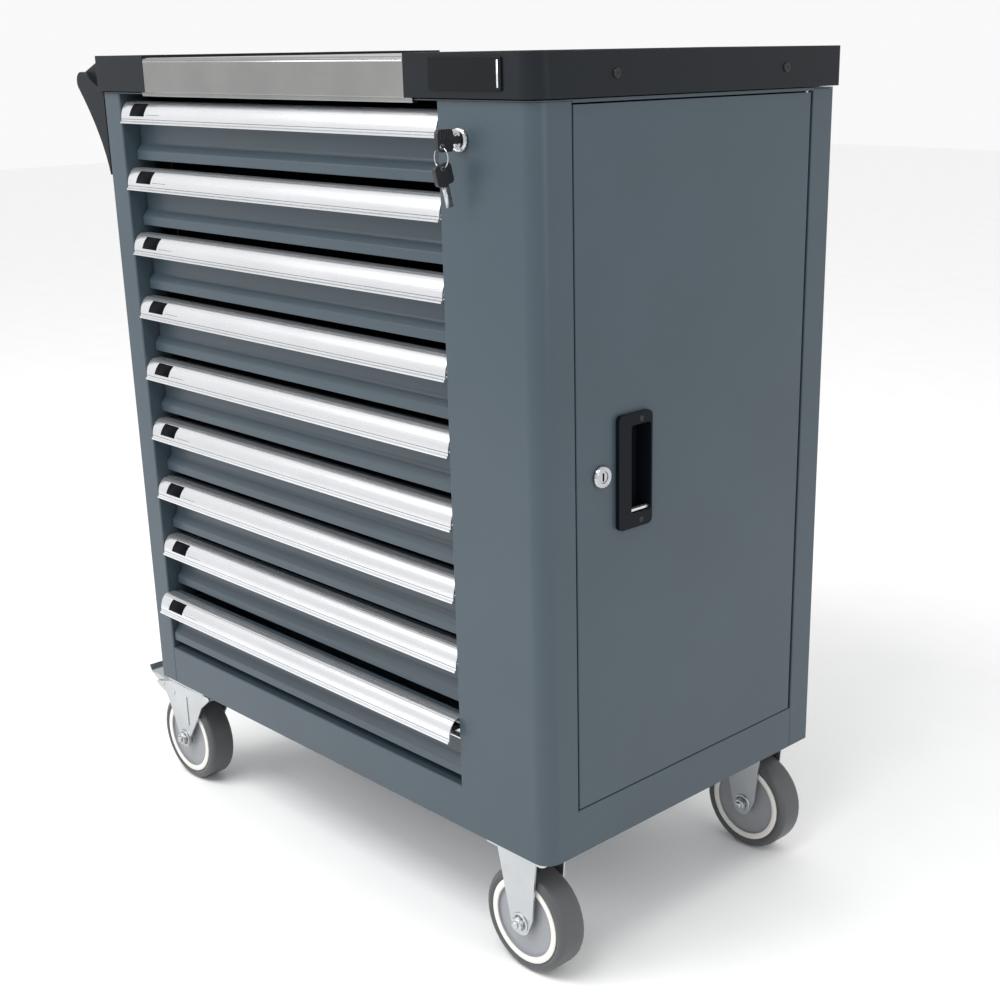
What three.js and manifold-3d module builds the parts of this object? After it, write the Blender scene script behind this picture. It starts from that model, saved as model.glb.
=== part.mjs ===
// A rolling tool chest: a folded sheet-steel cabinet with nine drawers in the front and a tall locker
// behind a flush door in the right side, a stainless worktop between two moulded end caps, a push handle
// on the left, two rigid casters on the right and two braked swivel casters on the left.
// Millimetres, +Z up, the drawers open towards -Y, and the wheels stand on Z = 0.
import * as THREE from 'three';
import { mergeVertices } from 'three/addons/utils/BufferGeometryUtils.js';
import Module from 'manifold-3d';

const wasm = await Module();
wasm.setup();

// ---- Driving dimensions -------------------------------------------------------------------------
const width = 780; // cabinet body, left face to right face
const depth = 460; // cabinet body, front face to back face
const bodyBottom = 155; // overall height of a caster
const bodyHeight = 791;
const sheet = 1.2; // thickness of the folded steel
const gap = 0.3; // between pieces that touch
const cornerRadius = 20; // front right upright corner
const rearCornerRadius = 3; // rear right upright corner
const leftPostWidth = 37.5;
const columnWidth = 138; // right column, from the drawers to the right face
const railHeight = 52; // bottom rail below the lowest drawer
const jambDepth = 42; // fold that runs back beside the drawers
const returnDepth = 15; // folds that frame the side door
const seamGap = 1.7; // between the side door and its frame

const drawerCount = 9;
const drawerPitch = 80.8;
const firstLip = 909.3; // lower lip of the top drawer's pull
const pullRise = 26.5; // from the lip up to the top of the pull
const frontDrop = 45; // from the lip down to the foot of the drawer front
const frontSetBack = 24; // drawer front behind the cabinet face
const lowestDrawerOut = 13.5; // the lowest drawer stands slightly open at rest

const capHeight = 42;
const capGap = 1.2; // cap above the cabinet
const frontOverhang = 4.5;
const leftOverhang = 6.5;
const rightOverhang = 5;
const leftCapWidth = 114;
const rightCapWidth = 187;

const wheelRadius = 62.5;
const wheelWidth = 38;
const wheelPlane = 197; // wheel's middle plane, front or back of the centre
const casterX = 334; // swivel axis on the left, axle on the right
const trail = 28;

// ---- Faces worked out from them ------------------------------------------------------------------
const left = -width / 2;
const right = width / 2;
const front = -depth / 2;
const back = depth / 2;
const bodyTop = bodyBottom + bodyHeight;
const openLeft = left + leftPostWidth;
const openRight = right - columnWidth;
const openBottom = bodyBottom + railHeight;
const roofUnder = bodyTop - sheet - 0.2;
const wallTop = roofUnder - gap;
const frontPlane = front + frontSetBack;

// ---- Solids --------------------------------------------------------------------------------------
function toSolid(geometry) {
  const bare = geometry.clone();
  bare.deleteAttribute('normal');
  bare.deleteAttribute('uv');
  const merged = mergeVertices(bare, 1e-4);
  const corners = merged.attributes.position.array;
  const faces = Array.from(merged.index.array);
  const kept = [];
  for (let i = 0; i < faces.length; i += 3) {
    const [a, b, c] = faces.slice(i, i + 3);
    if (a !== b && b !== c && c !== a) kept.push(a, b, c);
  }
  const point = (i) => new THREE.Vector3().fromArray(corners, 3 * i);
  let volume = 0;
  for (let i = 0; i < kept.length; i += 3) {
    volume += point(kept[i]).dot(point(kept[i + 1]).cross(point(kept[i + 2])));
  }
  if (volume < 0) kept.reverse();
  return new wasm.Manifold(
    new wasm.Mesh({
      numProp: 3,
      vertProperties: new Float32Array(corners),
      triVerts: new Uint32Array(kept),
    }),
  );
}

function toGeometry(solid) {
  const mesh = solid.getMesh();
  const geometry = new THREE.BufferGeometry();
  geometry.setAttribute('position', new THREE.BufferAttribute(mesh.vertProperties, 3));
  geometry.setIndex(new THREE.BufferAttribute(mesh.triVerts, 1));
  const flat = geometry.toNonIndexed();
  flat.computeVertexNormals();
  return flat;
}

const join = (first, ...rest) => rest.reduce((whole, solid) => whole.add(solid), first);
const cut = (first, ...rest) => rest.reduce((whole, solid) => whole.subtract(solid), first);

function box(x0, x1, y0, y1, z0, z1) {
  const geometry = new THREE.BoxGeometry(x1 - x0, y1 - y0, z1 - z0);
  return toSolid(geometry.translate((x0 + x1) / 2, (y0 + y1) / 2, (z0 + z1) / 2));
}

// An outline pushed along one axis. Its two coordinates are (y, z) for 'x', (x, z) for 'y', (x, y) for 'z'.
function prism(axis, outline, from, to) {
  const shape = new THREE.Shape(outline.map(([u, v]) => new THREE.Vector2(u, v)));
  const geometry = new THREE.ExtrudeGeometry(shape, { depth: to - from, bevelEnabled: false });
  const X = new THREE.Vector3(1, 0, 0);
  const Y = new THREE.Vector3(0, 1, 0);
  const Z = new THREE.Vector3(0, 0, 1);
  const turn = new THREE.Matrix4();
  if (axis === 'x') turn.makeBasis(Y, Z, X);
  if (axis === 'y') turn.makeBasis(X, Z, Y.clone().negate());
  geometry.translate(0, 0, axis === 'y' ? -to : from);
  return toSolid(geometry.applyMatrix4(turn));
}

// A profile of [radius, height] points turned about an axis through `centre`.
function turned(axis, profile, centre, segments = 32) {
  const points = profile.map(([radius, height]) => new THREE.Vector2(radius, height));
  const geometry = new THREE.LatheGeometry(points, segments);
  if (axis === 'z') geometry.rotateX(Math.PI / 2);
  if (axis === 'x') geometry.rotateZ(-Math.PI / 2);
  return toSolid(geometry.translate(...centre));
}

function rod(axis, radius, centre, from, to, segments = 24) {
  const profile = [[0, from], [radius, from], [radius, to], [0, to]];
  return turned(axis, profile, centre, segments);
}

// ---- Folded sheet --------------------------------------------------------------------------------
// A path of [u, v, bend radius] points with its corners rounded.
function bent(path, steps = 5) {
  return path.flatMap(([u, v, radius = 0], i) => {
    if (!radius) return [[u, v]];
    const corner = new THREE.Vector2(u, v);
    const toLast = new THREE.Vector2(...path[i - 1].slice(0, 2)).sub(corner).normalize();
    const toNext = new THREE.Vector2(...path[i + 1].slice(0, 2)).sub(corner).normalize();
    const half = Math.acos(THREE.MathUtils.clamp(toLast.dot(toNext), -1, 1)) / 2;
    const middle = toLast.clone().add(toNext).setLength(radius / Math.sin(half));
    const centre = corner.clone().add(middle);
    const start = corner.clone().addScaledVector(toLast, radius / Math.tan(half)).sub(centre);
    const sweep = Math.sign(toLast.cross(start)) * (Math.PI - 2 * half);
    return Array.from({ length: steps + 1 }, (_, k) => {
      const spoke = start.clone().rotateAround(new THREE.Vector2(), (sweep * k) / steps);
      return [centre.x + spoke.x, centre.y + spoke.y];
    });
  });
}

// The closed outline of a sheet whose outer skin follows `path`; its thickness lies to the left.
function folded(path, thickness = sheet, steps = 5) {
  const skin = bent(path, steps);
  const side = (a, b) => new THREE.Vector2(a[1] - b[1], b[0] - a[0]).normalize();
  const inner = skin.map((point, i) => {
    const before = side(skin[Math.max(i - 1, 0)], skin[Math.max(i, 1)]);
    const after = side(skin[Math.min(i, skin.length - 2)], skin[Math.min(i + 1, skin.length - 1)]);
    const shift = before.clone().add(after).multiplyScalar(thickness / (1 + before.dot(after)));
    return [point[0] + shift.x, point[1] + shift.y];
  });
  return skin.concat(inner.reverse());
}

function rectangle(u0, u1, v0, v1, radius = 0) {
  const corners = [[u0, v0], [u1, v0], [u1, v1], [u0, v1]];
  if (!radius) return corners;
  const rounded = [...corners.slice(1), corners[0]].map((corner) => [...corner, radius]);
  const closed = [[(u0 + u1) / 2, v0], ...rounded];
  return bent([...closed, closed[0]]).slice(0, -1);
}

// ---- The scene -----------------------------------------------------------------------------------
const paint = (color, roughness, metalness) =>
  new THREE.MeshStandardMaterial({ color, roughness, metalness });
const powderCoat = () => paint(0x62707a, 0.45, 0.15);
const stainless = () => paint(0xb4b4b2, 0.28, 1);
const brightPull = () => paint(0xe8e9ec, 0.2, 0.9);
const zinc = () => paint(0xc9c9c6, 0.35, 0.9);
const blackPlastic = () => paint(0x2b2f35, 0.55, 0);
const chrome = () => paint(0xd8dadc, 0.12, 1);
const galvanised = () => paint(0x9aa0a4, 0.4, 0.9);

const chest = new THREE.Group();

function add(name, solid, material) {
  const mesh = new THREE.Mesh(toGeometry(solid), material);
  mesh.name = name;
  chest.add(mesh);
}

// ---- Door and its pivots (needed by the cabinet's openings) ---------------------------------------
const doorFront = front + 49.7;
const doorBack = front + 421.1;
const doorBottom = openBottom + 2.4;
const doorTop = bodyTop - 4.9;
const doorFold = 14; // how far the door's edges run inwards
const pivotInset = 5; // the hinge pins stand on the axis of the rounded rear edge
const pivotX = right - pivotInset;
const pivotY = doorBack - pivotInset;
const pinRadius = 2.5;
const doorLock = { y: front + 84.7, z: bodyBottom + 420 };
const frontLock = { x: right - 104.8, z: bodyBottom + 754 };
const plugRadius = 6;
const barrelRadius = 9;
const keySlot = { half: 1.3, halfHeight: 4.3 };

// ---- Cabinet -------------------------------------------------------------------------------------
function leftSidePanel() {
  const path = [
    [left, back - sheet - gap],
    [left, front, 3],
    [openLeft, front, 2],
    [openLeft, front + jambDepth],
  ];
  return prism('z', folded(path), bodyBottom, wallTop);
}

// The column, welded in one piece with the rails under the drawers and under the door.
function frontRightColumn() {
  const seam = doorFront - seamGap;
  const path = [
    [openRight, front + jambDepth],
    [openRight, front, 2],
    [right, front, cornerRadius],
    [right, seam, 1.5],
    [right - returnDepth, seam],
  ];
  const wall = prism('z', folded(path), bodyBottom, wallTop);
  const fronts = [
    box(openRight - 1, openRight + 3, front, front + sheet, bodyBottom, openBottom - 2),
    box(right - sheet, right, seam - 3, seam + 2, bodyBottom, openBottom - 1),
  ];
  const pinHole = rod('z', pinRadius + gap, [pivotX, pivotY, 0], openBottom - 9, openBottom + 9);
  const lockHole = rod('y', barrelRadius + gap, [frontLock.x, 0, frontLock.z], front - 5, front + 5);
  return cut(join(wall, bottomRail(), doorRail(), ...fronts), lockHole, pinHole);
}

function backPanel() {
  const seam = doorBack + seamGap;
  const path = [
    [right - returnDepth, seam],
    [right, seam, 1.5],
    [right, back, rearCornerRadius],
    [left, back],
  ];
  return prism('z', folded(path), bodyBottom, wallTop);
}

function bottomRail() {
  const path = [
    [front + 40, openBottom],
    [front, openBottom, 2],
    [front, bodyBottom],
  ];
  return prism('x', folded(path), openLeft + 0.7, openRight + 0.2);
}

function doorRail() {
  const path = [
    [right, bodyBottom],
    [right, openBottom + 0.8, 1.5],
    [right - 20, openBottom + 0.8],
  ];
  return prism('y', folded(path), doorFront - seamGap, doorBack + seamGap - 2 * gap);
}

// The footprint of a level sheet, rounded where the walls around it are.
function footprint(inset) {
  return bent([
    [left + inset, back - inset],
    [left + inset, front + inset, 3],
    [right - inset, front + inset, cornerRadius - inset],
    [right - inset, back - inset, rearCornerRadius - inset],
    [left + inset, back - inset],
  ]).slice(0, -1);
}

// The floor of the cabinet, notched round the folds of the walls.
function basePan() {
  const floorBottom = bodyBottom + 0.2;
  const plate = prism('z', footprint(sheet + gap), floorBottom, floorBottom + 2);
  const jambs = [openLeft - sheet / 2, openRight + sheet / 2].map((x) =>
    box(x - 1, x + 1, front, front + jambDepth + gap, bodyBottom, bodyBottom + 5),
  );
  const notch = sheet / 2 + gap;
  const returns = [doorFront - seamGap - sheet / 2, doorBack + seamGap + sheet / 2].map((y) =>
    box(right - returnDepth - gap, right, y - notch, y + notch, bodyBottom, bodyBottom + 5),
  );
  return cut(plate, ...jambs, ...returns);
}

function roofPanel() {
  const plate = prism('z', footprint(0), roofUnder, bodyTop);
  const lintel = box(right - sheet, right, doorFront - 1.4, doorBack + 1.4, bodyTop - 3.2, roofUnder + 0.5);
  const pinHole = rod('z', pinRadius + gap, [pivotX, pivotY, 0], roofUnder - 5, bodyTop + 5);
  return cut(join(plate, lintel), pinHole);
}

const partitionX = openRight + sheet + gap;

function centrePartition() {
  const top = wallTop;
  const foot = bodyBottom + 2.2 + gap;
  return box(partitionX, partitionX + sheet, front + 5, back - sheet - gap, foot, top);
}

add('left_side_panel', leftSidePanel(), powderCoat());
add('front_right_column', frontRightColumn(), powderCoat());
add('back_panel', backPanel(), powderCoat());
add('base_pan', basePan(), powderCoat());
add('roof_panel', roofPanel(), powderCoat());
add('centre_partition', centrePartition(), powderCoat());

// ---- Drawers and their slides ---------------------------------------------------------------------
const trayBack = front + 430;
const slideFront = front + jambDepth + 3;
const slideBack = trayBack - 4;
const fixedSlide = 5.2; // thickness of the member on the cabinet
const movingSlide = 7.8; // thickness of the member on the drawer
const trayLeft = openLeft + fixedSlide + 0.6 + movingSlide;
const trayRight = openRight - fixedSlide - 0.6 - movingSlide;
const trayWall = 1;
const trayHeight = 58;

const lipHeight = (index) => firstLip - drawerPitch * index;
const trayFloor = (index) => lipHeight(index) - frontDrop + 3;
const slideMiddle = (index) => trayFloor(index) + 30;

function drawerTray(index, out) {
  const lip = lipHeight(index);
  const foot = lip - frontDrop;
  const head = lip + pullRise - 1.6;
  const floor = trayFloor(index);
  const face = frontPlane + 0.3;
  const frontPath = [
    [face + 7, head],
    [face, head, 1.5],
    [face, foot + 21, 9],
    [face - 8, foot + 11, 3],
    [face - 8, foot, 1.3],
    [face - 1, foot],
  ];
  const panel = prism('x', folded(frontPath), openLeft + 2, openRight - 2);
  const trayFront = face + sheet - 0.4;
  const shell = box(trayLeft, trayRight, trayFront, trayBack, floor, floor + trayHeight);
  const inside = box(
    trayLeft + trayWall, trayRight - trayWall,
    trayFront + trayWall, trayBack - trayWall,
    floor + trayWall, floor + trayHeight + 1,
  );
  const middle = slideMiddle(index);
  const members = [
    [trayLeft - movingSlide, trayLeft + 0.4],
    [trayRight - 0.4, trayRight + movingSlide],
  ].map(([x0, x1]) => box(x0, x1, slideFront + 2, slideBack, middle - 7, middle + 7));
  return join(panel, cut(shell, inside), ...members).translate(0, -out, 0);
}

// The extruded pull: a back plate with a short lower flange, and a curved shell that ends in a bead.
function drawerPull(index, out) {
  const lip = lipHeight(index);
  const top = lip + pullRise;
  const wall = 1.6;
  const shellFront = front - 0.5;
  const curveStart = frontPlane - 11;
  const curveFoot = lip + 4;
  const arc = Array.from({ length: 9 }, (_, k) => {
    const angle = (Math.PI / 2) * (k / 8);
    const reach = (curveStart - shellFront) * Math.sin(angle);
    return [curveStart - reach, curveFoot + (top - curveFoot) * Math.cos(angle)];
  });
  const path = [
    [frontPlane - 6.5, lip - 0.5],
    [frontPlane, lip - 0.5, 2],
    [frontPlane, top, 2],
    ...arc,
    [shellFront, lip],
  ];
  const bead = [
    [shellFront + wall, lip],
    [shellFront + wall, lip + 3],
    [shellFront + 0.3, lip + 3.4],
    [shellFront - 2, lip + 1.8],
    [shellFront - 2, lip],
  ];
  const x0 = openLeft + 1.5;
  const x1 = openRight - 1.5;
  const extrusion = join(prism('x', folded(path, wall), x0, x1), prism('x', bead, x0, x1));
  return extrusion.translate(0, -out, 0);
}

for (let index = 0; index < drawerCount; index += 1) {
  const out = index === drawerCount - 1 ? lowestDrawerOut : 0;
  add(`drawer_${index + 1}_tray`, drawerTray(index, out), powderCoat());
  add(`drawer_${index + 1}_pull`, drawerPull(index, out), brightPull());
}

// Nine slide members on two uprights. On the left the uprights are channels that reach to the side panel.
function slideRack(side) {
  const face = side < 0 ? openLeft : openRight;
  const inward = -side;
  const sorted = (a, b) => [Math.min(a, b), Math.max(a, b)];
  const members = Array.from({ length: drawerCount }, (_, index) => {
    const middle = slideMiddle(index);
    const [x0, x1] = sorted(face, face + inward * fixedSlide);
    return box(x0, x1, slideFront, slideBack, middle - 11, middle + 11);
  });
  const low = slideMiddle(drawerCount - 1) - 30;
  const high = slideMiddle(0) + 30;
  const uprights = [slideFront + 20, slideBack - 50].map((y) => {
    if (side > 0) return box(face - 0.4, face + sheet, y, y + 30, low, high);
    const wall = left + sheet + gap;
    const channel = [
      [wall, y + 12],
      [wall, y],
      [face + 0.4, y],
      [face + 0.4, y + 30],
      [wall, y + 30],
    ];
    return prism('z', folded(channel), low, high);
  });
  return join(members[0], ...uprights, ...members.slice(1));
}

add('left_slide_rack', slideRack(-1), galvanised());
add('right_slide_rack', slideRack(1), galvanised());

// ---- Worktop -------------------------------------------------------------------------------------
const capBottom = bodyTop + capGap;
const capTop = capBottom + capHeight;
const steelTop = capTop - 3;
const capWall = 3;
const leftCapEdge = left - leftOverhang + leftCapWidth;
const rightCapEdge = right + rightOverhang - rightCapWidth;

// The stainless sheet, folded down in front and behind, with a lip that hooks in over the drawers.
function worktopSheet() {
  const face = front - frontOverhang + 0.3;
  const half = [
    [front + 4, capBottom - 5.2],
    [face + 2.2, capBottom - 5.2, 1.5],
    [face + 2.2, capBottom - 1.5],
    [face, capBottom, 1.4],
    [face, steelTop, 3],
  ];
  const rear = [
    [-face, steelTop, 3],
    [-face, capBottom + 0.6, 1.5],
    [-face - 8, capBottom + 0.6],
  ];
  const path = [...half, ...rear].reverse();
  const blank = prism('x', folded(path, 1.2, 4), leftCapEdge + gap, rightCapEdge - gap);
  const hookPath = [...half.slice(0, 3), [face + 1, capBottom - 0.5]].reverse();
  const hook = prism('x', folded(hookPath), leftCapEdge - 10, rightCapEdge + 10);
  const roofClear = box(left, right, front - gap, back, roofUnder - gap, capBottom);
  const capClear = box(left - 20, leftCapEdge + gap, front - 20, back, capBottom - gap, capTop);
  const capClearRight = box(rightCapEdge - gap, right + 20, front - 20, back, capBottom - gap, capTop);
  return cut(join(blank, hook), roofClear, capClear, capClearRight);
}

// A chipboard core that carries the stainless sheet, resting on the roof.
function worktopBoard() {
  const inset = 4;
  return box(
    leftCapEdge + 1, rightCapEdge - 1, front + inset, back - inset, bodyTop + gap, steelTop - 1.2 - gap,
  );
}

// A moulded cap: a rounded block, hollow below, with a shallow tray in its top.
function capBlock(outline, inner, tray) {
  const block = prism('z', outline, capBottom, capTop);
  const hollow = prism('z', inner, capBottom - 5, capTop - 9 - capWall);
  const dish = prism('z', tray, capTop - 9, capTop + 5);
  return cut(block, hollow, dish);
}

function rightEndCap() {
  const y0 = front - frontOverhang;
  const y1 = back + frontOverhang;
  const x1 = right + rightOverhang;
  const shape = (inset, radius, rearRadius) => bent([
    [rightCapEdge + inset, y1 - inset],
    [rightCapEdge + inset, y0 + inset],
    [x1 - inset, y0 + inset, radius],
    [x1 - inset, y1 - inset, rearRadius],
    [rightCapEdge + inset, y1 - inset],
  ], 8).slice(0, -1);
  return capBlock(shape(0, cornerRadius + 4, 4), shape(capWall, cornerRadius + 1, 2), shape(14, 12, 12));
}

const nose = { x: left - 53, z: bodyBottom + 803, radius: 12 };
const wingFoot = bodyBottom + 690;

// One wing of the push handle: it runs down the left side and carries the grip in its nose.
function wingProfile(upperRoot, upperAngle) {
  const root = left - gap;
  const around = (degrees) => {
    const angle = THREE.MathUtils.degToRad(degrees);
    return [nose.x + nose.radius * Math.cos(angle), nose.z + nose.radius * Math.sin(angle)];
  };
  const first = upperAngle;
  const last = 212;
  const noseArc = Array.from({ length: 8 }, (_, k) => around(first + ((last - first) * k) / 7));
  const start = new THREE.Vector2(...around(last));
  const tip = new THREE.Vector2(root - 1.6, wingFoot);
  const sag = new THREE.Vector2(left - 12, bodyBottom + 737);
  const run = new THREE.QuadraticBezierCurve(start, sag, tip).getPoints(8).slice(1);
  const underside = run.map((p) => [p.x, p.y]);
  return [upperRoot, ...noseArc, ...underside, [root, wingFoot], [root, upperRoot[1]]];
}

function leftEndCap() {
  const y0 = front - frontOverhang;
  const y1 = back + frontOverhang;
  const x0 = left - leftOverhang;
  const shape = (inset, radius) => bent([
    [leftCapEdge - inset, y0 + inset],
    [leftCapEdge - inset, y1 - inset],
    [x0 + inset, y1 - inset, radius],
    [x0 + inset, y0 + inset, radius],
    [leftCapEdge - inset, y0 + inset],
  ]).slice(0, -1);
  const block = capBlock(shape(0, 3), shape(capWall, 2), shape(14, 8));
  const low = wingProfile([x0 + 1, capBottom + 1], 65);
  const high = wingProfile([x0 + 1, capTop - 0.5], 108);
  const plates = [-1, 1].flatMap((side) => {
    const span = (a, b) => (side < 0 ? [a, b] : [-b, -a]);
    return [prism('y', low, ...span(front, front + 30)), prism('y', high, ...span(front + 8, front + 30))];
  });
  return join(block, ...plates);
}

function pushHandleGrip() {
  const end = -front - 30 - gap;
  return rod('y', nose.radius - 0.5, [nose.x, 0, nose.z], -end, end);
}

add('worktop_sheet', worktopSheet(), stainless());
add('worktop_board', worktopBoard(), paint(0xa98c63, 0.8, 0));
add('right_end_cap', rightEndCap(), blackPlastic());
add('left_end_cap', leftEndCap(), blackPlastic());
add('push_handle_grip', pushHandleGrip(), blackPlastic());

// ---- Side door -----------------------------------------------------------------------------------
const cup = {
  y0: front + 125, y1: front + 155, z0: bodyBottom + 372, z1: bodyBottom + 467,
  depth: 16, wall: 1.5,
};
const cupFrame = {
  y0: front + 106.3, y1: front + 157.3, z0: bodyBottom + 356.5, z1: bodyBottom + 479.5,
  proud: 5,
};

function sideDoor() {
  const edge = [
    [right - doorFold, doorFront],
    [right, doorFront, 1.5],
    [right, doorBack, pivotInset - 0.01],
    [right - doorFold, doorBack],
  ];
  const skin = prism('z', folded(edge), doorBottom, doorTop);
  const flangeOutline = bent(edge);
  const lower = prism('z', flangeOutline, doorBottom, doorBottom + sheet);
  const upper = prism('z', flangeOutline, doorTop - sheet, doorTop);
  const clear = cup.wall + 0.4;
  const cupHole = box(
    right - 5, right + 5, cup.y0 - clear, cup.y1 + clear, cup.z0 - clear, cup.z1 + clear,
  );
  const lockHole = rod('x', barrelRadius + gap, [0, doorLock.y, doorLock.z], right - 5, right + 5);
  const pinHole = rod('z', pinRadius + gap, [pivotX, pivotY, 0], doorBottom - 5, doorTop + 5);
  return cut(join(skin, lower, upper), cupHole, lockHole, pinHole);
}

// The recessed pull: a raised frame on the door with a box-shaped cup behind it.
function doorPullCup() {
  const face = right + gap;
  const rim = rectangle(cupFrame.y0, cupFrame.y1, cupFrame.z0, cupFrame.z1, 6);
  const frame = prism('x', rim, face, face + cupFrame.proud);
  const cupBox = box(
    right - cup.depth - cup.wall, face + 1, cup.y0 - cup.wall, cup.y1 + cup.wall,
    cup.z0 - cup.wall, cup.z1 + cup.wall,
  );
  const recess = prism(
    'x', rectangle(cup.y0, cup.y1, cup.z0, cup.z1, 3), right - cup.depth, right + 10,
  );
  return cut(join(frame, cupBox), recess);
}

// A lock barrel on `axis`, seen from outside: a bevelled collar on the sheet and a sleeve behind it.
function lockBarrel(axis, centre, outward) {
  const collar = 12;
  const bore = plugRadius + gap;
  const profile = [
    [bore, -22], [barrelRadius, -22], [barrelRadius, gap], [collar, gap],
    [collar, 2], [collar - 2.5, 4.5], [bore, 4.5], [bore, -22],
  ];
  return turned(axis, profile.map(([r, h]) => [r, outward * h]), centre, 28);
}

add('side_door', sideDoor(), powderCoat());
add('door_pull_cup', doorPullCup(), blackPlastic());
add('door_lock_barrel', lockBarrel('x', [right, doorLock.y, doorLock.z], 1), chrome());

// The door's plug carries its cam on the inner end. Unlocked, the cam points up.
function doorLockPlug() {
  const at = [right, doorLock.y, doorLock.z];
  const plug = rod('x', plugRadius, at, -25.5, 3.5);
  const cam = box(
    right - 25.5, right - 22.5, doorLock.y - 6, doorLock.y + 6, doorLock.z - 8, doorLock.z + 46,
  );
  const keyway = box(
    right - 12, right + 5, doorLock.y - keySlot.half, doorLock.y + keySlot.half,
    doorLock.z - keySlot.halfHeight, doorLock.z + keySlot.halfHeight,
  );
  return cut(join(plug, cam), keyway);
}

add('door_lock_plug', doorLockPlug(), chrome());
add('door_upper_pin', rod('z', pinRadius, [pivotX, pivotY, 0], doorTop - 12, bodyTop - 0.2, 16), zinc());
add('door_lower_pin', rod('z', pinRadius, [pivotX, pivotY, 0], openBottom - 8, doorBottom + 12, 16), zinc());

// ---- Front lock, keys and the bar that locks every drawer --------------------------------------------
const keyThickness = 5;
const bowHalf = 10;
const bladeFront = front - 9;

add('front_lock_barrel', lockBarrel('y', [frontLock.x, front, frontLock.z], -1), chrome());

function frontLockPlug() {
  const at = [frontLock.x, front, frontLock.z];
  const plug = rod('y', plugRadius, at, -3.5, 25.5);
  const cam = box(
    frontLock.x - 21, frontLock.x + 6, front + 22.5, front + 25.5, frontLock.z - 5, frontLock.z + 5,
  );
  const keyway = box(
    frontLock.x - keySlot.half, frontLock.x + keySlot.half, front - 5, front + 17,
    frontLock.z - keySlot.halfHeight, frontLock.z + keySlot.halfHeight,
  );
  return cut(join(plug, cam), keyway);
}

// A key in the plane X = 0: the bow is centred on the origin and the blade runs towards +Y.
function keySolid(bladeLength, hole, eyeRadius) {
  const half = keyThickness / 2;
  const bow = prism('x', rectangle(-bowHalf, bowHalf, -10.5, 10.5, 4), -half, half);
  const blade = box(-1, 1, bowHalf - 1, bowHalf + bladeLength, -3.6, 3.6);
  const eye = rod('x', eyeRadius, [0, ...hole], -10, 10, 16);
  return cut(join(bow, blade), eye);
}

const bowCentreY = bladeFront - bowHalf - 1.5;
const ringEye = { y: bowCentreY - 4, z: frontLock.z - 5.6 };
const ringRadius = 10;

function keyRing() {
  const ring = new THREE.TorusGeometry(ringRadius, 0.8, 6, 28);
  ring.rotateX(Math.PI / 2);
  return toSolid(ring.translate(frontLock.x, ringEye.y, ringEye.z - ringRadius));
}

function spareKey() {
  const hanging = keySolid(22, [-6, 0], 2.8).rotate([-90, 0, 0]);
  const eyeHeight = ringEye.z - 2 * ringRadius;
  return hanging.translate(0, 0, -6).rotate([14, 0, 0]).translate(frontLock.x, ringEye.y, eyeHeight);
}

const frontKey = keySolid(24.5, [-4, -5.6], 3.3).translate(frontLock.x, bowCentreY, frontLock.z);

add('front_lock_plug', frontLockPlug(), chrome());
add('front_key', frontKey, blackPlastic());
add('key_ring', keyRing(), chrome());
add('spare_key', spareKey(), blackPlastic());

// A flat bar behind the column with one tooth for each drawer, raised by the front lock's cam.
function lockBar() {
  const x0 = partitionX + sheet + 2;
  const y0 = front + 30;
  const bar = box(x0, x0 + 3, y0, y0 + 16, lipHeight(drawerCount - 1) - 20, frontLock.z - 14);
  const tab = box(x0, x0 + 3, y0, y0 + 30, frontLock.z - 34, frontLock.z - 10);
  const teeth = Array.from({ length: drawerCount - 1 }, (_, index) => {
    const z = slideMiddle(index + 1) + 16;
    return box(x0, x0 + 3, y0 + 15, y0 + 28, z, z + 8);
  });
  return join(bar, tab, ...teeth);
}

add('lock_bar', lockBar(), galvanised());

// ---- Casters -------------------------------------------------------------------------------------
const legInner = 21.5;
const legOuter = 24;
const plateTop = bodyBottom - gap;
const plateThickness = 2.5;

function hub(x, y) {
  const profile = [
    [5.4, -18], [11, -18], [11, -15], [43, -14.5], [43, -17.5], [51.2, -17.5],
    [51.2, 17.5], [43, 17.5], [43, 14.5], [11, 15], [11, 18], [5.4, 18], [5.4, -18],
  ];
  return turned('y', profile, [x, y, wheelRadius], 32);
}

function tyre(x, y) {
  const seat = 51.5;
  const half = wheelWidth / 2;
  const shoulder = (side) => Array.from({ length: 5 }, (_, k) => {
    const angle = (Math.PI / 2) * (side < 0 ? k / 4 : 1 - k / 4);
    return [wheelRadius - 7 * (1 - Math.sin(angle)), side * (half - 7 + 7 * Math.cos(angle))];
  });
  const profile = [[seat, -half + 2], ...shoulder(-1), ...shoulder(1), [seat, half - 2], [seat, -half + 2]];
  return turned('y', profile, [x, y, wheelRadius], 40);
}

function axle(x, y) {
  const shank = rod('y', 5, [x, y, wheelRadius], -legOuter - 2, legOuter + 2);
  const heads = [-1, 1].map((side) => {
    const ends = [side * legOuter, side * (legOuter + 6)].sort((a, b) => a - b);
    return rod('y', 9, [x, y, wheelRadius], ...ends, 6);
  });
  return join(shank, ...heads);
}

// A leg outline in X and Z around the axle at (x, wheelRadius), given its upper corners and foot radius.
function legOutline(x, upper, footRadius, fromDegrees, toDegrees) {
  const foot = Array.from({ length: 11 }, (_, k) => {
    const angle = THREE.MathUtils.degToRad(fromDegrees + ((toDegrees - fromDegrees) * k) / 10);
    return [x + footRadius * Math.cos(angle), wheelRadius + footRadius * Math.sin(angle)];
  });
  return [...upper, ...foot];
}

function legs(outline, y) {
  return [-1, 1].map((side) => {
    const faces = [y + side * legInner, y + side * legOuter].sort((a, b) => a - b);
    return prism('y', outline, ...faces);
  });
}

function mountPlate(x, y) {
  const outline = rectangle(x - 46, x + 46, y - 32, y + 32, 5);
  return prism('z', outline, plateTop - plateThickness, plateTop);
}

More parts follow.
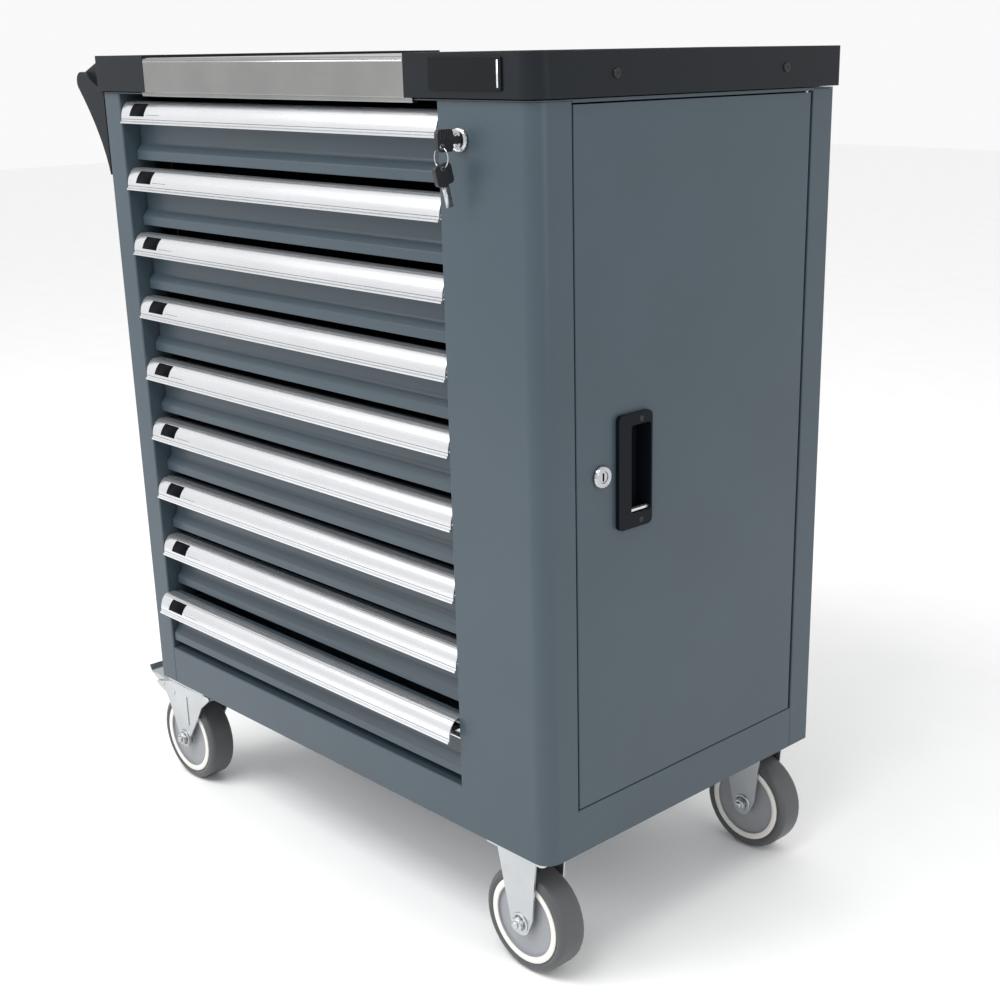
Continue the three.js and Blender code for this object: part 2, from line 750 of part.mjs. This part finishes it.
function rigidBracket(y) {
  const under = plateTop - 1;
  const upper = [[casterX + 20, 72], [casterX + 27, under], [casterX - 36, under]];
  const outline = legOutline(casterX, upper, 15, 190, 350);
  return join(mountPlate(casterX, y), ...legs(outline, y), axle(casterX, y));
}

function swivelPlate(y) {
  const race = rod('z', 20, [-casterX, y, 0], bodyBottom - 8.7, plateTop - 1, 32);
  return join(mountPlate(-casterX, y), race);
}

function swivelFork(y) {
  const axleX = -casterX - trail;
  const head = bodyBottom - 9.2;
  const outline = legOutline(axleX, [
    [axleX + 34, 96], [axleX + 52, 124], [-casterX + 46, head - 4], [-casterX + 44, head],
    [-casterX - 50, head - 2], [-casterX - 92, head - 13], [-casterX - 90, head - 17],
    [-casterX - 68, head - 24], [axleX - 30, 104],
  ], 13.5, 170, 372);
  const crown = box(-casterX - 44, -casterX + 40, y - legOuter, y + legOuter, head - 8, head - 4.5);
  const raceCup = rod('z', 17, [-casterX, y, 0], head - 6, head - gap, 32);
  return join(crown, raceCup, ...legs(outline, y), axle(axleX, y));
}

// The brake pedal: a channel between the fork's legs that runs out to the left and turns up at its end.
function brakePedal(y) {
  const path = [
    [-casterX - 48, bodyBottom - 22],
    [-casterX - 92, bodyBottom - 22, 12],
    [-casterX - 110, bodyBottom - 14, 6],
    [-casterX - 115, bodyBottom - 6],
  ];
  const half = legInner - 0.6;
  const tread = prism('y', folded([...path].reverse(), 2.5), y - half, y + half);
  const cheek = [
    [-casterX - 48, bodyBottom - 22], [-casterX - 92, bodyBottom - 22], [-casterX - 108, bodyBottom - 13],
    [-casterX - 92, bodyBottom - 13], [-casterX - 60, bodyBottom - 17],
  ];
  const cheeks = [-1, 1].map((side) => {
    const faces = [y + side * half, y + side * (half - 2)].sort((a, b) => a - b);
    return prism('y', cheek, ...faces);
  });
  return join(tread, ...cheeks);
}

for (const [place, y] of [['front', -wheelPlane], ['rear', wheelPlane]]) {
  const axleX = -casterX - trail;
  add(`rigid_${place}_bracket`, rigidBracket(y), zinc());
  add(`rigid_${place}_hub`, hub(casterX, y), paint(0xb8bcc0, 0.5, 0));
  add(`rigid_${place}_tyre`, tyre(casterX, y), paint(0x6c6e70, 0.7, 0));
  add(`swivel_${place}_plate`, swivelPlate(y), zinc());
  add(`swivel_${place}_fork`, swivelFork(y), zinc());
  add(`swivel_${place}_hub`, hub(axleX, y), paint(0xb8bcc0, 0.5, 0));
  add(`swivel_${place}_tyre`, tyre(axleX, y), paint(0x6c6e70, 0.7, 0));
  add(`swivel_${place}_pedal`, brakePedal(y), zinc());
}

// The origin is within 2 mm of the middle of the floor outline, which runs from the push handle to the
// right wheels and from the keys to the back of the end caps.
const outlineMiddle = new THREE.Vector2(-29.245, -16.315);
chest.position.set(-outlineMiddle.x, -outlineMiddle.y, 0);

export default chest;
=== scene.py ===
import math

import bmesh
import bpy
from mathutils import Matrix, Vector


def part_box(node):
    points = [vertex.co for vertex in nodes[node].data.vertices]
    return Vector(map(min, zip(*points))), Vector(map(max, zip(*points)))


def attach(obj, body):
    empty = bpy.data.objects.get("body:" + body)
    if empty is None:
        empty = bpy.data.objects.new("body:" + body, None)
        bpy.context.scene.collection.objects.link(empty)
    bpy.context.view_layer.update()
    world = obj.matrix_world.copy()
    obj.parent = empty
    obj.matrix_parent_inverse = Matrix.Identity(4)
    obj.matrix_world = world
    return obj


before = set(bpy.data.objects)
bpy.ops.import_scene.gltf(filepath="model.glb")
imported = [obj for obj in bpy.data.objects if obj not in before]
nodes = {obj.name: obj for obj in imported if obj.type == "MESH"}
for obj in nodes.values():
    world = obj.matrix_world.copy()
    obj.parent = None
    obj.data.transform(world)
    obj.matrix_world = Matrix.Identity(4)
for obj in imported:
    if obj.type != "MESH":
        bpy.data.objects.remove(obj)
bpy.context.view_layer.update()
scene = bpy.context.scene
mm = 0.001

# ---- Camera ---------------------------------------------------------------------------------------
# Looks down a little at the chest's front right upright corner, from about two metres away.
eye = Vector((1.4603, -1.2166, 0.9947))
right_way = Vector((0.70146, 0.71257, -0.01430))
down_way = Vector((0.21605, -0.23171, -0.94850))
forward_way = Vector((-0.67917, 0.66224, -0.31649))
lens = bpy.data.cameras.new("camera")
lens.lens = 55.0
lens.sensor_width = 36.0
lens.shift_x = -0.0514
lens.shift_y = 0.0551
lens.clip_start = 0.02
camera = bpy.data.objects.new("camera", lens)
turn = Matrix((right_way, -down_way, -forward_way)).transposed()
camera.matrix_world = Matrix.Translation(eye) @ turn.to_4x4()
scene.collection.objects.link(camera)
scene.camera = camera

# ---- Studio ---------------------------------------------------------------------------------------
# A pale floor under a white room, with one large soft light on the right, one in front and one above.
scene.view_settings.view_transform = "Standard"
world = bpy.data.worlds.new("studio")
world.use_nodes = True
world.node_tree.nodes["Background"].inputs["Color"].default_value = (1.0, 1.0, 1.0, 1.0)
world.node_tree.nodes["Background"].inputs["Strength"].default_value = 0.95
scene.world = world


def soft_light(name, place, aim, size, power):
    data = bpy.data.lights.new(name, "AREA")
    data.shape = "RECTANGLE"
    data.size, data.size_y = size
    data.energy = power
    lamp = bpy.data.objects.new(name, data)
    lamp.location = place
    lamp.rotation_euler = (Vector(aim) - Vector(place)).to_track_quat("-Z", "Y").to_euler()
    scene.collection.objects.link(lamp)


middle_of_chest = (0.0, 0.0, 0.5)
soft_light("right_light", (2.6, 0.1, 1.5), middle_of_chest, (0.5, 2.2), 9)
soft_light("front_light", (-1.2, -2.3, 2.1), middle_of_chest, (1.8, 1.2), 24)
soft_light("top_light", (0.1, -1.5, 2.8), middle_of_chest, (2.2, 1.0), 44)


def surface(
    name, colour, roughness, metallic=0.0, grain=(700, 700, 700), mottle=0.05, relief=0.06, shine=0.5,
):
    """A finish with fine grain along x, y and z (marks per metre), patchy gloss and a slight relief."""
    material = bpy.data.materials.new(name)
    material.use_nodes = True
    tree = material.node_tree
    shader = tree.nodes["Principled BSDF"]
    shader.inputs["Metallic"].default_value = metallic
    shader.inputs["Specular IOR Level"].default_value = shine
    coords = tree.nodes.new("ShaderNodeTexCoord")
    stretch = tree.nodes.new("ShaderNodeMapping")
    stretch.inputs["Scale"].default_value = grain
    tree.links.new(coords.outputs["Object"], stretch.inputs["Vector"])
    fine = tree.nodes.new("ShaderNodeTexNoise")
    fine.inputs["Scale"].default_value = 1.0
    fine.inputs["Detail"].default_value = 3.0
    tree.links.new(stretch.outputs["Vector"], fine.inputs["Vector"])
    broad = tree.nodes.new("ShaderNodeTexNoise")
    broad.inputs["Scale"].default_value = 9.0
    broad.inputs["Detail"].default_value = 4.0
    tree.links.new(coords.outputs["Object"], broad.inputs["Vector"])
    shade = tree.nodes.new("ShaderNodeValToRGB")
    shade.color_ramp.elements[0].position = 0.3
    shade.color_ramp.elements[0].color = [c * (1 - mottle) for c in colour] + [1.0]
    shade.color_ramp.elements[1].position = 0.7
    shade.color_ramp.elements[1].color = [min(1.0, c * (1 + mottle)) for c in colour] + [1.0]
    tree.links.new(broad.outputs["Fac"], shade.inputs["Fac"])
    tree.links.new(shade.outputs["Color"], shader.inputs["Base Color"])
    gloss = tree.nodes.new("ShaderNodeMapRange")
    gloss.inputs["To Min"].default_value = max(0.03, roughness - 0.06)
    gloss.inputs["To Max"].default_value = roughness + 0.06
    tree.links.new(fine.outputs["Fac"], gloss.inputs["Value"])
    tree.links.new(gloss.outputs["Result"], shader.inputs["Roughness"])
    bump = tree.nodes.new("ShaderNodeBump")
    bump.inputs["Strength"].default_value = relief
    bump.inputs["Distance"].default_value = 0.0003
    tree.links.new(fine.outputs["Fac"], bump.inputs["Height"])
    tree.links.new(bump.outputs["Normal"], shader.inputs["Normal"])
    return material


floor_mesh = bpy.data.meshes.new("floor")
half_floor = 12.0
sheet = bmesh.new()
bmesh.ops.create_grid(sheet, x_segments=8, y_segments=8, size=half_floor)
sheet.to_mesh(floor_mesh)
sheet.free()
floor = bpy.data.objects.new("floor", floor_mesh)
floor_mesh.materials.append(surface("pale_floor", (0.94, 0.94, 0.94), 0.7, relief=0.0, mottle=0.01))
scene.collection.objects.link(floor)

# ---- Cabinet --------------------------------------------------------------------------------------
# Folded 1.2 mm sheet steel, powder coated blue grey: side, column with its rails, back, floor, roof and
# partition.
# The panels are welded and screwed at their folds, so each folded edge keeps a small soft radius.


def dress(names, material, edge=0.3, smooth_below=28):
    """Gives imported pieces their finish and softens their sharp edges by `edge` millimetres."""
    for name in names:
        part = nodes[name]
        part.data.materials.clear()
        part.data.materials.append(material)
        if "custom_normal" in part.data.attributes:
            part.data.attributes.remove(part.data.attributes["custom_normal"])
        part.data.polygons.foreach_set("use_smooth", [True] * len(part.data.polygons))
        weld = part.modifiers.new("weld", "WELD")
        weld.merge_threshold = 1e-5
        bevel = part.modifiers.new("soft_edge", "BEVEL")
        bevel.width = edge * mm
        bevel.segments = 2
        bevel.limit_method = "ANGLE"
        bevel.angle_limit = math.radians(smooth_below)
        part.modifiers.new("shading", "WEIGHTED_NORMAL")


powder_coat = surface(
    "powder_coat", (0.045, 0.066, 0.083), 0.34, grain=(900, 900, 900), mottle=0.04, relief=0.09, shine=0.4,
)
dress(
    ["left_side_panel", "front_right_column", "back_panel", "base_pan", "roof_panel", "centre_partition"],
    powder_coat,
)

# ---- Slides and lock bar --------------------------------------------------------------------------
# Galvanised steel members fixed to two uprights on each side, and the bar that locks every drawer.
galvanised = surface("galvanised", (0.42, 0.44, 0.46), 0.38, 1.0, grain=(40, 900, 900), mottle=0.12)
dress(["left_slide_rack", "right_slide_rack", "lock_bar"], galvanised)

# ---- Drawers --------------------------------------------------------------------------------------
# Nine sheet-steel trays, each with a front that flares at its foot, and an extruded aluminium pull
# along the top of the front. Each pull has a label plate, a card slot, two grooves and a release strip;
# the slot and the grooves are thin grey patches on its face, painted shade standing for their depth.
bright_aluminium = surface(
    "bright_aluminium", (0.70, 0.71, 0.73), 0.26, 0.85, grain=(12, 1400, 1400), mottle=0.03, relief=0.02,
)
label_black = surface("label_black", (0.003, 0.004, 0.006), 0.6, relief=0.02, shine=0.05)
strip_black = surface("strip_black", (0.008, 0.009, 0.011), 0.5, shine=0.25)
# Grey for the pulls' grooves and card slots: painted shade for the dark inside these recesses.
painted_slot_and_groove_shade = surface("painted_slot_and_groove_shade", (0.13, 0.135, 0.14), 0.45, 0.5, grain=(12, 2400, 2400))
pull_rise = 26.5 * mm
shell_reach = 13.5 * mm
bead_reach = 2 * mm
bead_height = 4 * mm


def show(name, mesh, material, body, edge=0.0):
    mesh.materials.append(material)
    piece = bpy.data.objects.new(name, mesh)
    scene.collection.objects.link(piece)
    if edge:
        bevel = piece.modifiers.new("soft_edge", "BEVEL")
        bevel.width = edge * mm
        bevel.segments = 2
        bevel.limit_method = "ANGLE"
        bevel.angle_limit = math.radians(28)
        piece.modifiers.new("shading", "WEIGHTED_NORMAL")
    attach(piece, body)
    return piece


def finished(name, shell, smooth=True):
    bmesh.ops.remove_doubles(shell, verts=shell.verts, dist=1e-7)
    bmesh.ops.recalc_face_normals(shell, faces=shell.faces)
    mesh = bpy.data.meshes.new(name)
    shell.to_mesh(mesh)
    shell.free()
    mesh.polygons.foreach_set("use_smooth", [smooth] * len(mesh.polygons))
    return mesh


def pushed(name, outline, height, place):
    """An outline in its own x and y, given a height along z and set in place by a matrix."""
    shell = bmesh.new()
    low = [shell.verts.new(place @ Vector((x, y, 0))) for x, y in outline]
    high = [shell.verts.new(place @ Vector((x, y, height))) for x, y in outline]
    shell.faces.new(low)
    shell.faces.new(high)
    for i in range(len(outline)):
        j = (i + 1) % len(outline)
        shell.faces.new((low[i], low[j], high[j], high[i]))
    return finished(name, shell)


def on_pull(pull_top, shell_front, part, lift):
    """A point (y, z) on the pull's curved face, part 0 at its top and 1 at its foot, raised by lift."""
    angle = part * math.pi / 2
    rise = pull_rise - bead_height
    y = shell_front + shell_reach - shell_reach * math.sin(angle)
    z = pull_top - rise + rise * math.cos(angle)
    out = Vector((-math.sin(angle) * rise, math.cos(angle) * shell_reach)).normalized() * lift
    return y + out.x, z + out.y


def patch(name, pull_top, shell_front, x_ends, parts, lean=0.0, thickness=0.25 * mm, steps=8):
    """A thin piece that lies on the curved face of a pull. Its ends lean by `lean` from top to foot."""
    shell = bmesh.new()
    rows = []
    for k in range(steps + 1):
        share = k / steps
        part = parts[0] + (parts[1] - parts[0]) * share
        shift = lean * (0.5 - share)
        row = []
        for lift in (-0.1 * mm, thickness):
            y, z = on_pull(pull_top, shell_front, part, lift)
            row += [shell.verts.new((x + shift, y, z)) for x in x_ends]
        rows.append(row)
    for upper, lower in zip(rows, rows[1:]):
        for a, b in ((0, 1), (1, 3), (3, 2), (2, 0)):
            shell.faces.new((upper[a], upper[b], lower[b], lower[a]))
    for row in (rows[0], rows[-1]):
        shell.faces.new((row[0], row[1], row[3], row[2]))
    return finished(name, shell)


def box_outline(x0, x1, y0, y1):
    return [(x0, y0), (x1, y0), (x1, y1), (x0, y1)]


for number in range(1, 10):
    body = f"drawer_{number}"
    dress([f"{body}_tray"], powder_coat)
    dress([f"{body}_pull"], bright_aluminium, edge=0.2)
    low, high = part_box(f"{body}_pull")
    shell_front = low.y + bead_reach
    top = high.z
    whole = (low.x + 0.5 * mm, high.x - 0.5 * mm)
    label_left = low.x + 22 * mm
    label = patch(
        f"{body}_label", top, shell_front, (label_left, label_left + 33 * mm), (0.34, 0.86), lean=5 * mm,
    )
    show(f"{body}_label", label, label_black, body)
    # Each groove is a thin grey patch on the pull's face, painted shade for the groove's dark line.
    for place, part in (("upper", 0.27), ("lower", 0.955)):
        groove = patch(
            f"{body}_{place}_groove", top, shell_front, whole, (part, part + 0.018),
            thickness=0.05 * mm, steps=2,
        )
        show(f"{body}_{place}_groove", groove, painted_slot_and_groove_shade, body)
    # The card slot is a thin grey patch too, painted shade for the dark of the slot.
    slot_left = label_left + 36 * mm
    slot = patch(
        f"{body}_card_slot", top, shell_front, (slot_left, slot_left + 30 * mm), (0.80, 0.815),
        thickness=0.05 * mm, steps=2,
    )
    show(f"{body}_card_slot", slot, painted_slot_and_groove_shade, body)
    lip = top - pull_rise
    strip_place = Matrix.Translation((low.x + 4 * mm, shell_front, lip)) @ Matrix.Rotation(
        math.pi / 2, 4, "Y",
    )
    strip_length = high.x - low.x - 5 * mm
    strip = pushed(
        f"{body}_release_strip",
        box_outline(-18 * mm, -12.5 * mm, 6 * mm, 19 * mm),
        strip_length,
        strip_place,
    )
    show(f"{body}_release_strip", strip, strip_black, body, edge=0.6)

# ---- Worktop --------------------------------------------------------------------------------------
# A brushed stainless sheet folded down over a chipboard core that lies on the cabinet's roof. A strip of
# brighter steel along the top of its front is a painted highlight on the sheet's rounded top edge.
stainless = surface(
    "stainless", (0.30, 0.30, 0.297), 0.3, 1.0, grain=(8, 2600, 2600), mottle=0.12, relief=0.08,
)
chipboard = surface("chipboard", (0.40, 0.27, 0.13), 0.85, grain=(260, 260, 700), mottle=0.25, relief=0.4)
dress(["worktop_sheet"], stainless, edge=0.2)
dress(["worktop_board"], chipboard, edge=0.5)
# This brighter steel is a painted highlight, standing for light caught by the worktop's top front edge.
painted_bead_highlight = surface("painted_bead_highlight", (0.75, 0.75, 0.74), 0.25, 1.0, grain=(8, 2600, 2600))
steel_low, steel_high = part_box("worktop_sheet")
bead_left = steel_low.x + 11 * mm
bead_right = steel_high.x - 11 * mm
bead_seat = Matrix.Translation((bead_left, steel_low.y, steel_high.z - 4.5 * mm)) @ Matrix.Rotation(
    math.pi / 2, 4, "Y",
)
bead_highlight = pushed(
    "worktop_bead_highlight", box_outline(-0.6 * mm, 0.6 * mm, -0.5 * mm, 0.6 * mm), bead_right - bead_left, bead_seat,
)
show("worktop_bead_highlight", bead_highlight, painted_bead_highlight, "cabinet")

# ---- End caps and push handle ---------------------------------------------------------------------
# Moulded dark plastic caps with a shallow dish in each, screwed on through their sides. The left one
# carries the wings of the push handle and the round grip between them.
black_plastic = surface(
    "black_plastic", (0.009, 0.0115, 0.0145), 0.38, grain=(1500, 1500, 1500), relief=0.14, shine=0.16,
)
dress(["left_end_cap", "right_end_cap", "push_handle_grip"], black_plastic, edge=0.8)


def rounded(width, height, radius, steps=6):
    """The outline of a round-cornered rectangle about its own middle."""
    corners = [(1, 1, 0), (-1, 1, 90), (-1, -1, 180), (1, -1, 270)]
    return [
        (
            sx * (width / 2 - radius) + radius * math.cos(math.radians(start + 90 * k / steps)),
            sy * (height / 2 - radius) + radius * math.sin(math.radians(start + 90 * k / steps)),
        )
        for sx, sy, start in corners
        for k in range(steps + 1)
    ]


def turned(name, profile, place, steps=40, flute=0.0):
    """A profile of (radius, height) turned about z. Every other step is drawn in by `flute`."""
    shell = bmesh.new()
    rings = []
    for k in range(steps):
        angle = 2 * math.pi * k / steps
        draw = 1 - flute * (k % 2)
        rings.append([
            shell.verts.new(place @ Vector((draw * r * math.cos(angle), draw * r * math.sin(angle), h)))
            for r, h in profile
        ])
    for k, ring in enumerate(rings):
        following = rings[(k + 1) % steps]
        for i in range(len(profile)):
            j = (i + 1) % len(profile)
            corners = [ring[i], ring[j], following[j], following[i]]
            if profile[i][0] == 0 and profile[j][0] == 0:
                continue
            if profile[i][0] == 0:
                corners = [ring[i], ring[j], following[j]]
            if profile[j][0] == 0:
                corners = [ring[i], ring[j], following[i]]
            shell.faces.new(corners)
    return finished(name, shell)


facing_front = Matrix.Rotation(math.pi / 2, 4, "X")
facing_right = Matrix.Rotation(math.pi / 2, 4, "Y")
screw_black = surface("screw_black", (0.02, 0.021, 0.023), 0.3, 0.5)
screw_head = [(0, 1.0), (1.9, 1.0), (2.2, 2.2), (4.2, 1.9), (5.0, 0.9), (5.0, -0.4), (0, -0.4)]
cap_low, cap_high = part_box("right_end_cap")
screw_height = cap_high.z - 21 * mm
for place, y in (("front", cap_low.y + 107.5 * mm), ("rear", cap_high.y - 98.5 * mm)):
    seat = Matrix.Translation((cap_high.x, y, screw_height)) @ facing_right
    head = turned(f"cap_{place}_screw", [(r * mm, h * mm) for r, h in screw_head], seat)
    show(f"cap_{place}_screw", head, screw_black, "cabinet")

badge_size = (104 * mm, 30.5 * mm)
badge_middle = Vector((cap_low.x + 92 * mm, cap_low.y + 0.3 * mm, cap_high.z - 19.4 * mm))
badge_black = surface("badge_black", (0.003, 0.004, 0.005), 0.4, relief=0.02, shine=0.15)
# This bright finish paints a highlight on the badge plate's right edge.
painted_badge_highlight = surface("painted_badge_highlight", (0.8, 0.81, 0.83), 0.25, 0.8)
badge_seat = Matrix.Translation(badge_middle) @ facing_front
badge = pushed("badge_plate", rounded(*badge_size, 2 * mm), 2.2 * mm, badge_seat)
show("badge_plate", badge, badge_black, "cabinet", edge=0.5)
# A bright strip at the plate's right end is a painted highlight for light caught by the plate's rounded edge.
highlight_seat = Matrix.Translation(badge_middle + Vector((47 * mm, 0, 0))) @ facing_front
highlight_strip = pushed("badge_edge_highlight", rounded(2 * mm, 25 * mm, 0.8 * mm), 2.6 * mm, highlight_seat)
show("badge_edge_highlight", highlight_strip, painted_badge_highlight, "cabinet")

# ---- Side door ------------------------------------------------------------------------------------
# A flush sheet-steel door on two pins, with a recessed plastic pull held by two screws and a cam lock
# with a fluted collar. A bright bar crosses the foot of the pull.
dress(["side_door"], powder_coat)
cup_black = surface("cup_black", (0.005, 0.007, 0.010), 0.32, relief=0.08, shine=0.09)
dress(["door_pull_cup"], cup_black, edge=1.6)
chrome = surface("chrome", (0.50, 0.51, 0.53), 0.12, 1.0, mottle=0.02, relief=0.02)
zinc_plate = surface("zinc_plate", (0.54, 0.56, 0.57), 0.34, 1.0, grain=(220, 220, 220), mottle=0.14)
dress(["door_lock_barrel", "door_lock_plug"], chrome)
collar_rim = [(9.4, 4.3), (10.6, 4.9), (12.2, 2.4), (12.2, 0.6), (9.4, 0.6)]
collar_profile = [(r * mm, h * mm) for r, h in collar_rim]
barrel_low, barrel_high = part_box("door_lock_barrel")
barrel_middle = (barrel_low + barrel_high) / 2
collar_seat = Matrix.Translation((cap_high.x - 5 * mm, barrel_middle.y, barrel_middle.z)) @ facing_right
collar = turned("door_lock_collar", collar_profile, collar_seat, 36, flute=0.06)
show("door_lock_collar", collar, chrome, "door")
dress(["door_upper_pin", "door_lower_pin"], zinc_plate)
cup_low, cup_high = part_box("door_pull_cup")
cup_middle_y = cup_high.y - 17.3 * mm
for place, z in (("upper", cup_high.z - 7 * mm), ("lower", cup_low.z + 7 * mm)):
    seat = Matrix.Translation((cup_high.x - 0.2 * mm, cup_middle_y, z)) @ facing_right
    head = turned(f"cup_{place}_screw", [(r * 0.6 * mm, h * 0.4 * mm) for r, h in screw_head], seat)
    show(f"cup_{place}_screw", head, screw_black, "door")
# A bar in the pulls' bright aluminium finish lies across the foot of the recess.
foot_bar_seat = Matrix.Translation((cup_high.x - 8 * mm, cup_middle_y, cup_low.z + 18 * mm)) @ facing_right
foot_bar = pushed("pull_foot_bright_bar", rounded(3 * mm, 29 * mm, 0.8 * mm), 5 * mm, foot_bar_seat)
show("pull_foot_bright_bar", foot_bar, bright_aluminium, "door", edge=0.3)

# ---- Front lock and keys --------------------------------------------------------------------------
# A chromed cam lock in the front column. Its key has a ribbed black bow, and the spare key hangs from
# a wire ring, with a flat steel blade.
key_black = surface("key_black", (0.012, 0.013, 0.016), 0.4)
dress(["front_lock_barrel", "front_lock_plug", "key_ring"], chrome)
dress(["front_key", "spare_key"], key_black, edge=0.5)
lock_low, lock_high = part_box("front_lock_barrel")
lock_middle = (lock_low + lock_high) / 2
collar_seat = Matrix.Translation((lock_middle.x, lock_low.y + 4.5 * mm, lock_middle.z)) @ facing_front
collar = turned("front_lock_collar", collar_profile, collar_seat, 36, flute=0.06)
show("front_lock_collar", collar, chrome, "cabinet")
spare_low, spare_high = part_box("spare_key")
key_tilt = Matrix.Rotation(math.radians(14), 4, "X")
blade_foot = Vector((lock_middle.x, spare_high.y - 4.2 * mm, spare_low.z + 1.2 * mm))
blade_teeth = [
    (-3.9, 0), (-3.9, 20), (3.9, 20), (3.9, 15), (2.6, 13), (3.7, 11), (2.2, 8), (3.4, 6), (2.8, 0),
]
blade_turn = Matrix.Rotation(math.pi / 2, 4, "Z") @ Matrix.Rotation(math.pi / 2, 4, "X")
blade_seat = Matrix.Translation(blade_foot) @ key_tilt @ blade_turn
blade = pushed(
    "spare_key_blade", [(u * mm, v * mm) for u, v in blade_teeth], 2.4 * mm,
    blade_seat @ Matrix.Translation((0, 0, -1.2 * mm)),
)
show("spare_key_blade", blade, zinc_plate, "key_bunch")
key_low, key_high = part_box("front_key")
for k in range(5):
    rib_spot = (key_high.x - 0.1 * mm, key_low.y + (4 + 3 * k) * mm, key_high.z - 5.5 * mm)
    rib_seat = Matrix.Translation(rib_spot) @ facing_right
    rib = pushed(f"key_rib_{k + 1}", rounded(9 * mm, 1.4 * mm, 0.6 * mm), 0.7 * mm, rib_seat)
    show(f"key_rib_{k + 1}", rib, key_black, "front_lock")

# ---- Casters --------------------------------------------------------------------------------------
# Pressed zinc-plated brackets and forks bolted under the corners. Each wheel is a grey moulded hub with a
# cream ring in its face and a grey rubber tyre, on an axle bolt with washers and nuts. The forks are
# riveted and have a pressed ridge on each leg.
tyre_rubber = surface(
    "tyre_rubber", (0.072, 0.075, 0.08), 0.4, grain=(500, 500, 500), relief=0.2, shine=0.4,
)
wheel_plastic = surface("wheel_plastic", (0.27, 0.28, 0.30), 0.4)
ring_cream = surface("ring_cream", (0.74, 0.72, 0.68), 0.4)
ring_profile = [(43.4, 17.0), (51.0, 17.0), (51.0, 17.9), (50.0, 18.6), (44.4, 18.6), (43.4, 17.9)]
washer_profile = [(8.0, 23.9), (12.5, 23.9), (12.5, 25.2), (12.0, 25.6), (8.0, 25.6)]
axle_nut = [(0, 25.4), (8.2, 25.4), (8.2, 29.8), (7.2, 30.6), (0, 30.6)]
bolt_end = [(0, 30.4), (4.6, 30.4), (4.6, 33.2), (3.8, 34.0), (0, 34.2)]
plate_bolt = [(0, 0.2), (6.5, 0.2), (6.5, -2.8), (5.6, -3.4), (0, -3.4)]
rivet_head = [(0, 1.6), (2.2, 1.4), (3.6, 0.6), (4.0, -0.2), (0, -0.2)]
for kind in ("rigid", "swivel"):
    for place in ("front", "rear"):
        caster = f"{kind}_{place}"
        carrier = "cabinet" if kind == "rigid" else caster
        holder = f"{caster}_bracket" if kind == "rigid" else f"{caster}_fork"
        plate_node = holder if kind == "rigid" else f"{caster}_plate"
        dress([holder], zinc_plate)
        if kind == "swivel":
            dress([plate_node, f"{caster}_pedal"], zinc_plate)
        dress([f"{caster}_hub"], wheel_plastic, edge=0.6)
        dress([f"{caster}_tyre"], tyre_rubber, edge=0.6)
        hub_low, hub_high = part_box(f"{caster}_hub")
        centre = (hub_low + hub_high) / 2
        for side, way in (("outer", 1), ("inner", -1)):
            seat = Matrix.Translation(centre) @ Matrix.Rotation(way * math.pi / 2, 4, "X")
            ring = turned(f"{caster}_{side}_ring", [(r * mm, h * mm) for r, h in ring_profile], seat, 72)
            show(f"{caster}_{side}_ring", ring, ring_cream, f"{caster}_wheel")
            fastenings = (("washer", washer_profile, 40), ("nut", axle_nut, 6), ("bolt_end", bolt_end, 40))
            for part, profile, steps in fastenings:
                mesh = turned(f"{caster}_{side}_{part}", [(r * mm, h * mm) for r, h in profile], seat, steps)
                show(f"{caster}_{side}_{part}", mesh, zinc_plate, carrier)
        if kind == "swivel":
            leg_faces = ((1, centre.y - 24 * mm), (-1, centre.y + 24 * mm))
            for side, (way, face) in zip(("front", "rear"), leg_faces):
                turn_out = Matrix.Rotation(way * math.pi / 2, 4, "X")
                for number, (dx, z) in enumerate(((-47, 133), (-20, 127)), start=1):
                    seat = Matrix.Translation((centre.x + dx * mm, face, z * mm)) @ turn_out
                    head = [(r * mm, h * mm) for r, h in rivet_head]
                    mesh = turned(f"{caster}_{side}_rivet_{number}", head, seat)
                    show(f"{caster}_{side}_rivet_{number}", mesh, zinc_plate, carrier)
                seat = Matrix.Translation((centre.x + 12 * mm, face, 108 * mm)) @ turn_out
                ridge = pushed(f"{caster}_{side}_ridge", rounded(7 * mm, 46 * mm, 3.4 * mm), 1.2 * mm, seat)
                show(f"{caster}_{side}_ridge", ridge, zinc_plate, carrier, edge=0.5)
        plate_low, plate_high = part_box(plate_node)
        plate_x = (plate_low.x + plate_high.x) / 2
        under = plate_high.z - 2.5 * mm
        for number, (dx, dy) in enumerate(((-32, -22), (32, -22), (32, 22), (-32, 22)), start=1):
            seat = Matrix.Translation((plate_x + dx * mm, centre.y + dy * mm, under))
            mesh = turned(f"{caster}_plate_bolt_{number}", [(r * mm, h * mm) for r, h in plate_bolt], seat, 6)
            show(f"{caster}_plate_bolt_{number}", mesh, zinc_plate, "cabinet")
